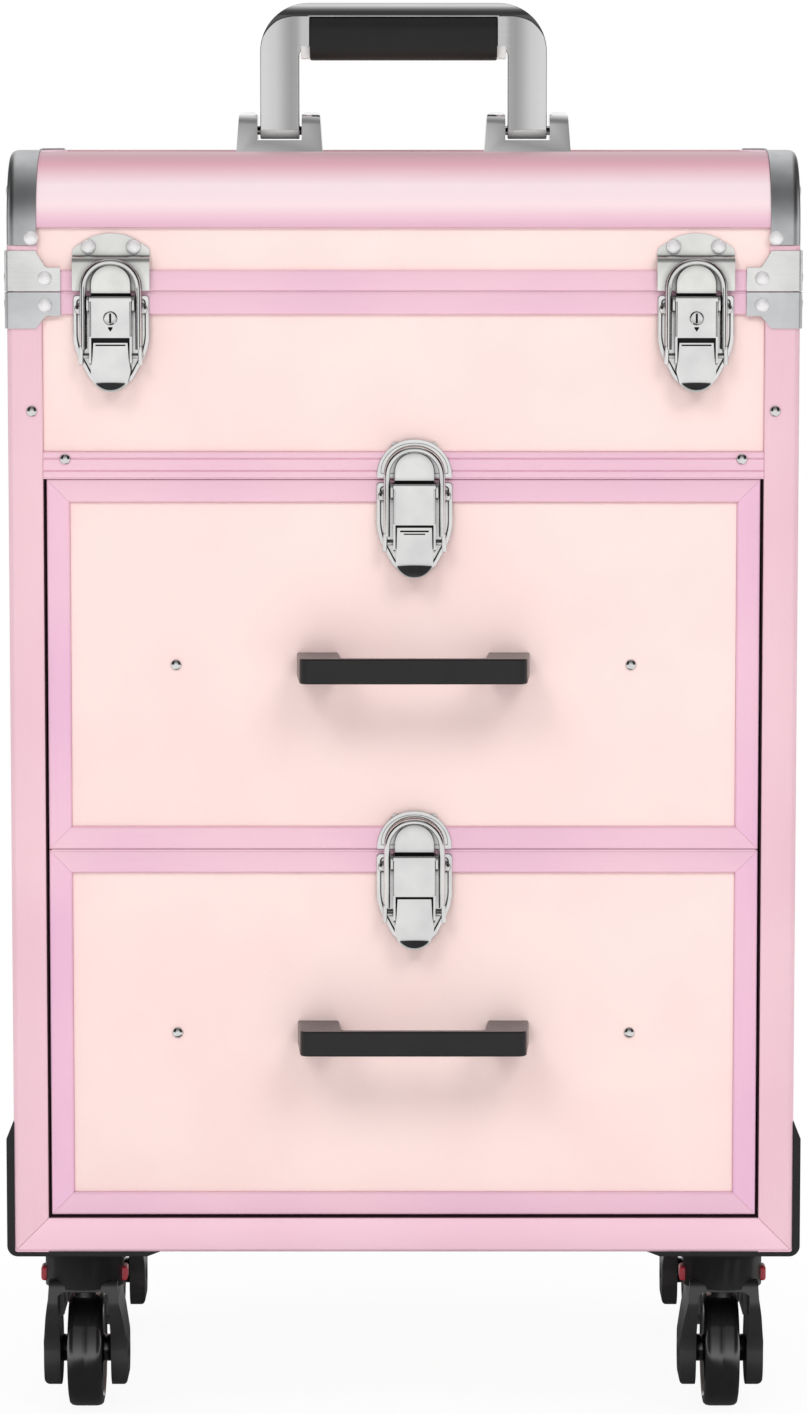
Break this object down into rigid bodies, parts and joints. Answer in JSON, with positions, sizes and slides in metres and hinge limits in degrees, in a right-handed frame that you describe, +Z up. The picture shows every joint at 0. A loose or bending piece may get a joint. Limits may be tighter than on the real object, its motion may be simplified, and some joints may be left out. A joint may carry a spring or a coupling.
{
  "type": "rolling makeup case",
  "caption": "Upright rolling case with framed panels, hinged lid with carry handle, latched drawers with bridge pulls, telescopic handle and swivel casters.",
  "frame": {"origin": "on the floor, under the middle of the whole case, handles included", "axes": "X to the right of someone who faces the drawers, Y away from them, Z up"},
  "size_m": [0.3668, 0.2936, 0.66],
  "materials": {
    "satin_frame": "pink anodised satin aluminium profile",
    "textured_panel": "pale peach-pink board with a fine embossed texture",
    "steel_fitting": "bright nickel-plated pressed steel",
    "black_plastic": "black moulded plastic",
    "gloss_black": "gloss black drawer pull",
    "red_plastic": "red moulded plastic",
    "runner_steel": "zinc-plated steel runner",
    "drawer_board": "lined drawer board",
    "wheel_rubber": "black caster tyre",
    "tube_metal": "silver aluminium tube"
  },
  "bodies": {
    "cabinet": {"corner_posts": "satin_frame", "body_rails": "satin_frame", "upper_front_panel": "textured_panel", "body_panels": "textured_panel", "body_corner_brackets": "steel_fitting", "body_rivets": "steel_fitting", "caster_brackets": "black_plastic", "caster_release_tabs": "red_plastic", "runner_channels": "runner_steel", "body_hinge_leaves": "steel_fitting", "lid_latch_bases": "steel_fitting", "upper_drawer_strike": "steel_fitting", "trolley_sleeves": "tube_metal"},
    "lid": {"lid_bullnose_profiles": "satin_frame", "lid_panels": "textured_panel", "lid_rails": "satin_frame", "lid_corner_caps": "steel_fitting", "lid_corner_brackets": "steel_fitting", "lid_rivets": "steel_fitting", "lid_strikes": "steel_fitting", "lid_hinge_leaves": "steel_fitting", "carry_handle_brackets": "steel_fitting"},
    "carry_handle": {"carry_handle_bow": "steel_fitting", "carry_handle_grip": "black_plastic"},
    "upper_drawer": {"upper_drawer_front_frame": "satin_frame", "upper_drawer_front_panel": "textured_panel", "upper_drawer_box": "drawer_board", "upper_drawer_pull": "gloss_black", "upper_drawer_slides": "runner_steel", "upper_drawer_latch_base": "steel_fitting", "upper_drawer_rivets": "steel_fitting", "lower_drawer_strike": "steel_fitting"},
    "lower_drawer": {"lower_drawer_front_frame": "satin_frame", "lower_drawer_front_panel": "textured_panel", "lower_drawer_box": "drawer_board", "lower_drawer_pull": "gloss_black", "lower_drawer_slides": "runner_steel", "lower_drawer_latch_base": "steel_fitting", "lower_drawer_rivets": "steel_fitting"},
    "trolley_middle_tubes": {"trolley_middle_tubes": "tube_metal"},
    "trolley_grip": {"trolley_grip": "black_plastic"},
    "trolley_button": {"trolley_button": "black_plastic"},
    "left_lid_latch_lever": {"left_lid_latch_lever": "steel_fitting"},
    "left_lid_latch_bail": {"left_lid_latch_bail": "steel_fitting"},
    "left_lid_key_plug": {"left_lid_key_plug": "steel_fitting"},
    "right_lid_latch_lever": {"right_lid_latch_lever": "steel_fitting"},
    "right_lid_latch_bail": {"right_lid_latch_bail": "steel_fitting"},
    "right_lid_key_plug": {"right_lid_key_plug": "steel_fitting"},
    "upper_drawer_latch_lever": {"upper_drawer_latch_lever": "steel_fitting"},
    "upper_drawer_latch_bail": {"upper_drawer_latch_bail": "steel_fitting"},
    "lower_drawer_latch_lever": {"lower_drawer_latch_lever": "steel_fitting"},
    "lower_drawer_latch_bail": {"lower_drawer_latch_bail": "steel_fitting"},
    "front_left_caster_fork": {"front_left_caster_fork": "black_plastic"},
    "front_left_caster_wheel": {"front_left_caster_wheel": "wheel_rubber"},
    "front_right_caster_fork": {"front_right_caster_fork": "black_plastic"},
    "front_right_caster_wheel": {"front_right_caster_wheel": "wheel_rubber"},
    "rear_left_caster_fork": {"rear_left_caster_fork": "black_plastic"},
    "rear_left_caster_wheel": {"rear_left_caster_wheel": "wheel_rubber"},
    "rear_right_caster_fork": {"rear_right_caster_fork": "black_plastic"},
    "rear_right_caster_wheel": {"rear_right_caster_wheel": "wheel_rubber"}
  },
  "joints": [
    {"name": "lid_hinge", "type": "hinge", "parent": "cabinet", "child": "lid", "pos_m": [0, 0.12655, 0.5275], "axis": [1, 0, 0], "range_deg": [-95, 0]},
    {"name": "carry_handle_fold", "type": "hinge", "parent": "lid", "child": "carry_handle", "pos_m": [0, 0.00325, 0.6], "axis": [1, 0, 0], "range_deg": [-88, 88]},
    {"name": "upper_drawer_slide", "type": "slide", "parent": "cabinet", "child": "upper_drawer", "axis": [0, -1, 0], "range_m": [0, 0.15]},
    {"name": "lower_drawer_slide", "type": "slide", "parent": "upper_drawer", "child": "lower_drawer", "axis": [0, 1, 0], "range_m": [-0.15, 0]},
    {"name": "trolley_grip_slide", "type": "slide", "parent": "cabinet", "child": "trolley_grip", "axis": [0, 0, 1], "range_m": [0, 0.42]},
    {"name": "trolley_middle_slide", "type": "slide", "parent": "cabinet", "child": "trolley_middle_tubes", "axis": [0, 0, 1], "range_m": [0, 0.21]},
    {"name": "trolley_button_press", "type": "slide", "parent": "trolley_grip", "child": "trolley_button", "axis": [0, 0, -1], "range_m": [0, 0.0025], "stiffness_N_per_m": 400, "springref_m": -0.001},
    {"name": "left_lid_latch_lift", "type": "hinge", "parent": "cabinet", "child": "left_lid_latch_lever", "pos_m": [-0.1326, -0.12175, 0.5223], "axis": [1, 0, 0], "range_deg": [-105, 0]},
    {"name": "left_lid_bail_swing", "type": "hinge", "parent": "left_lid_latch_lever", "child": "left_lid_latch_bail", "pos_m": [-0.1326, -0.12245, 0.4985], "axis": [1, 0, 0], "range_deg": [0, 126]},
    {"name": "left_lid_key_turn", "type": "hinge", "parent": "left_lid_latch_lever", "child": "left_lid_key_plug", "pos_m": [-0.1326, -0.12515, 0.5158], "axis": [0, -1, 0], "range_deg": [0, 90]},
    {"name": "right_lid_latch_lift", "type": "hinge", "parent": "cabinet", "child": "right_lid_latch_lever", "pos_m": [0.1326, -0.12175, 0.5223], "axis": [1, 0, 0], "range_deg": [-105, 0]},
    {"name": "right_lid_bail_swing", "type": "hinge", "parent": "right_lid_latch_lever", "child": "right_lid_latch_bail", "pos_m": [0.1326, -0.12245, 0.4985], "axis": [1, 0, 0], "range_deg": [0, 126]},
    {"name": "right_lid_key_turn", "type": "hinge", "parent": "right_lid_latch_lever", "child": "right_lid_key_plug", "pos_m": [0.1326, -0.12515, 0.5158], "axis": [0, -1, 0], "range_deg": [0, 90]},
    {"name": "upper_drawer_latch_lift", "type": "hinge", "parent": "upper_drawer", "child": "upper_drawer_latch_lever", "pos_m": [0.005, -0.12175, 0.43735], "axis": [1, 0, 0], "range_deg": [-105, 0]},
    {"name": "upper_drawer_bail_swing", "type": "hinge", "parent": "upper_drawer_latch_lever", "child": "upper_drawer_latch_bail", "pos_m": [0.005, -0.12245, 0.41355], "axis": [1, 0, 0], "range_deg": [0, 126]},
    {"name": "lower_drawer_latch_lift", "type": "hinge", "parent": "lower_drawer", "child": "lower_drawer_latch_lever", "pos_m": [0.005, -0.12175, 0.2669], "axis": [1, 0, 0], "range_deg": [-105, 0]},
    {"name": "lower_drawer_bail_swing", "type": "hinge", "parent": "lower_drawer_latch_lever", "child": "lower_drawer_latch_bail", "pos_m": [0.005, -0.12245, 0.2431], "axis": [1, 0, 0], "range_deg": [0, 126]},
    {"name": "front_left_swivel", "type": "hinge", "parent": "cabinet", "child": "front_left_caster_fork", "pos_m": [-0.1496, -0.08175, 0.062], "axis": [0, 0, 1], "continuous": true},
    {"name": "front_left_roll", "type": "hinge", "parent": "front_left_caster_fork", "child": "front_left_caster_wheel", "pos_m": [-0.1496, -0.06575, 0.0275], "axis": [1, 0, 0], "continuous": true},
    {"name": "front_right_swivel", "type": "hinge", "parent": "cabinet", "child": "front_right_caster_fork", "pos_m": [0.1496, -0.08175, 0.062], "axis": [0, 0, 1], "continuous": true},
    {"name": "front_right_roll", "type": "hinge", "parent": "front_right_caster_fork", "child": "front_right_caster_wheel", "pos_m": [0.1496, -0.06575, 0.0275], "axis": [1, 0, 0], "continuous": true},
    {"name": "rear_left_swivel", "type": "hinge", "parent": "cabinet", "child": "rear_left_caster_fork", "pos_m": [-0.1496, 0.08825, 0.062], "axis": [0, 0, 1], "continuous": true},
    {"name": "rear_left_roll", "type": "hinge", "parent": "rear_left_caster_fork", "child": "rear_left_caster_wheel", "pos_m": [-0.1496, 0.10425, 0.0275], "axis": [1, 0, 0], "continuous": true},
    {"name": "rear_right_swivel", "type": "hinge", "parent": "cabinet", "child": "rear_right_caster_fork", "pos_m": [0.1496, 0.08825, 0.062], "axis": [0, 0, 1], "continuous": true},
    {"name": "rear_right_roll", "type": "hinge", "parent": "rear_right_caster_fork", "child": "rear_right_caster_wheel", "pos_m": [0.1496, 0.10425, 0.0275], "axis": [1, 0, 0], "continuous": true}
  ],
  "couplings": [
    {"joint": "trolley_middle_slide", "follows": "trolley_grip_slide", "ratio": 0.5},
    {"joint": "left_lid_bail_swing", "follows": "left_lid_latch_lift", "ratio": -1.2},
    {"joint": "right_lid_bail_swing", "follows": "right_lid_latch_lift", "ratio": -1.2},
    {"joint": "upper_drawer_bail_swing", "follows": "upper_drawer_latch_lift", "ratio": -1.2},
    {"joint": "lower_drawer_bail_swing", "follows": "lower_drawer_latch_lift", "ratio": -1.2}
  ]
}
